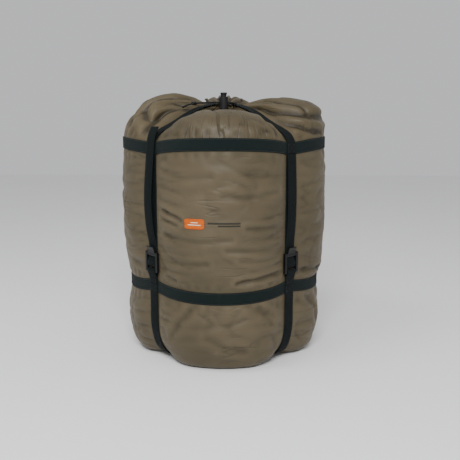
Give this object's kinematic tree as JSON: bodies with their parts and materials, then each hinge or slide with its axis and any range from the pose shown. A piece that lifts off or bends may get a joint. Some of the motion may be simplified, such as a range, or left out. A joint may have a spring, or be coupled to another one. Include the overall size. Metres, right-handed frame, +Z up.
{
  "type": "compression stuff sack",
  "caption": "Upright packed compression stuff sack with crossed webbing straps, ladder-lock adjusters, two webbing bands and a drawcord mouth with a spring cord lock.",
  "frame": {"origin": "centre of the base, on the surface the sack stands on", "axes": "+Z up along the sack's own axis, front label side faces -Y"},
  "size_m": [0.3704, 0.3705, 0.4594],
  "materials": {
    "shell_cloth": "coated satin nylon",
    "filling": "soft packed bedding",
    "webbing": "woven polyester tape",
    "thread": "sewing thread",
    "lock_plastic": "moulded acetal",
    "toggle_plastic": "moulded nylon",
    "spring_steel": "drawn wire",
    "cord": "braided cord",
    "label": "woven label",
    "print": "dark print"
  },
  "bodies": {
    "sack": {"base_panel": "shell_cloth", "lower_wall": "shell_cloth", "middle_wall": "shell_cloth", "packed_load": "filling", "lower_band": "webbing", "base_strap_1": "webbing", "base_strap_2": "webbing", "riser_strap_front_right": "webbing", "riser_strap_rear_right": "webbing", "riser_strap_rear_left": "webbing", "riser_strap_front_left": "webbing", "strap_tail_front_right": "webbing", "strap_tail_rear_right": "webbing", "strap_tail_rear_left": "webbing", "strap_tail_front_left": "webbing", "lower_band_stitching": "thread", "anchor_loop_stitching": "thread", "base_cross_stitching": "thread", "label_patch": "label", "label_bars": "print"},
    "crown": {"crown_wall": "shell_cloth", "mouth_hem": "shell_cloth", "upper_band": "webbing", "top_strap_1": "webbing", "top_strap_2": "webbing", "upper_band_stitching": "thread", "top_cross_stitching": "thread", "drawcord_loop": "cord", "drawcord_tail_near": "cord", "drawcord_tail_far": "cord", "cord_knot": "cord"},
    "lock_front_right": {"ladder_lock_front_right": "lock_plastic", "threaded_webbing_front_right": "webbing"},
    "lock_rear_right": {"ladder_lock_rear_right": "lock_plastic", "threaded_webbing_rear_right": "webbing"},
    "lock_rear_left": {"ladder_lock_rear_left": "lock_plastic", "threaded_webbing_rear_left": "webbing"},
    "lock_front_left": {"ladder_lock_front_left": "lock_plastic", "threaded_webbing_front_left": "webbing"},
    "cord_lock": {"cord_lock_barrel": "toggle_plastic", "cord_lock_spring": "spring_steel"},
    "cord_lock_button": {"cord_lock_plunger": "toggle_plastic"}
  },
  "joints": [
    {"name": "compression", "type": "slide", "parent": "sack", "child": "crown", "axis": [0, 0, 1], "range_m": [-0.06, 0], "stiffness_N_per_m": 3000, "springref_m": 0.01, "deforming": ["middle_wall", "packed_load", "riser_strap_front_right", "riser_strap_rear_right", "riser_strap_rear_left", "riser_strap_front_left"]},
    {"name": "lock_hinge_front_right", "type": "hinge", "parent": "sack", "child": "lock_front_right", "pos_m": [0.1166, -0.1166, 0.162], "axis": [0.7071, 0.7071, 0], "range_deg": [0, 40], "stiffness_Nm_per_rad": 0.02, "springref_deg": -17.19},
    {"name": "lock_hinge_rear_right", "type": "hinge", "parent": "sack", "child": "lock_rear_right", "pos_m": [0.1166, 0.1166, 0.162], "axis": [-0.7071, 0.7071, 0], "range_deg": [0, 40], "stiffness_Nm_per_rad": 0.02, "springref_deg": -17.19},
    {"name": "lock_hinge_rear_left", "type": "hinge", "parent": "sack", "child": "lock_rear_left", "pos_m": [-0.1166, 0.1166, 0.162], "axis": [-0.7071, -0.7071, 0], "range_deg": [0, 40], "stiffness_Nm_per_rad": 0.02, "springref_deg": -17.19},
    {"name": "lock_hinge_front_left", "type": "hinge", "parent": "sack", "child": "lock_front_left", "pos_m": [-0.1166, -0.1166, 0.162], "axis": [0.7071, -0.7071, 0], "range_deg": [0, 40], "stiffness_Nm_per_rad": 0.02, "springref_deg": -17.19},
    {"name": "cord_lock_slide", "type": "slide", "parent": "crown", "child": "cord_lock", "axis": [-1, 0, 0], "range_m": [0, 0.025]},
    {"name": "button_press", "type": "slide", "parent": "cord_lock", "child": "cord_lock_button", "axis": [0, 0, -1], "range_m": [0, 0.004], "stiffness_N_per_m": 300, "springref_m": -0.003, "deforming": ["cord_lock_spring"]}
  ]
}
